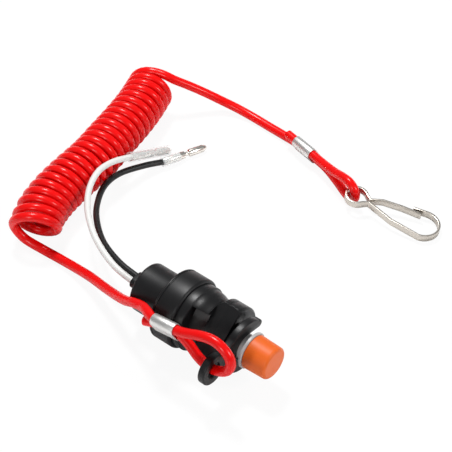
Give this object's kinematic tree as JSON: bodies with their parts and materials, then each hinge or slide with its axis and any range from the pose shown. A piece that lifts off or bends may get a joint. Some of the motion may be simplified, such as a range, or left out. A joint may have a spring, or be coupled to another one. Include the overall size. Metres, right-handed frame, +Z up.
{
  "type": "engine kill switch with lanyard",
  "caption": "Push-button engine kill switch in a rubber boot, held out by a fork clip on a coiled cord lanyard with crimped ends and a snap hook, with two wire leads.",
  "frame": {"origin": "on the switch's axis, where the housing's shoulder leaves the rubber boot", "axes": "+X along the switch's axis, towards the button; +Z up from the surface that the switch and its lanyard lie on; +Y towards the snap hook's side"},
  "size_m": [0.1658, 0.1511, 0.0357],
  "materials": {
    "boot_rubber": "satin",
    "housing_plastic": "satin",
    "nut_plastic": "satin",
    "base_plastic": "matte",
    "contact_brass": "satin",
    "spring_steel": "satin",
    "stem_plastic": "satin",
    "seal_rubber": "matte",
    "cap_plastic": "satin",
    "clip_plastic": "satin",
    "lanyard_cord": "semi-gloss",
    "ferrule_metal": "satin",
    "hook_steel": "satin",
    "white_insulation": "satin",
    "black_insulation": "satin",
    "bullet_metal": "bright",
    "clear_sleeve": "clear"
  },
  "bodies": {
    "switch": {"switch_housing": "housing_plastic", "rear_boot": "boot_rubber", "wire_gland": "boot_rubber", "back_nut": "nut_plastic", "front_nut": "nut_plastic", "terminal_base": "base_plastic", "terminal_white": "contact_brass", "terminal_black": "contact_brass", "return_spring": "spring_steel", "white_wire": "white_insulation", "black_wire": "black_insulation", "white_bullet": "bullet_metal", "black_bullet": "bullet_metal", "white_sleeve": "clear_sleeve", "black_sleeve": "clear_sleeve"},
    "button": {"button_stem": "stem_plastic", "button_cap": "cap_plastic", "stem_seal": "seal_rubber", "contact_ring": "contact_brass", "ring_keeper": "spring_steel"},
    "lanyard": {"lanyard_clip": "clip_plastic", "lanyard_near": "lanyard_cord", "lanyard_coil": "lanyard_cord", "lanyard_far": "lanyard_cord", "near_ferrule": "ferrule_metal", "far_ferrule": "ferrule_metal", "snap_hook": "hook_steel"}
  },
  "joints": [
    {"name": "button_push", "type": "slide", "parent": "switch", "child": "button", "axis": [-1, 0, 0], "range_m": [0, 0.0012], "stiffness_N_per_m": 600, "springref_m": -0.004, "deforming": ["return_spring"]},
    {"name": "clip_pull", "type": "slide", "parent": "switch", "child": "lanyard", "axis": [0, -0.9848, 0.1736], "range_m": [0, 0.02]}
  ]
}
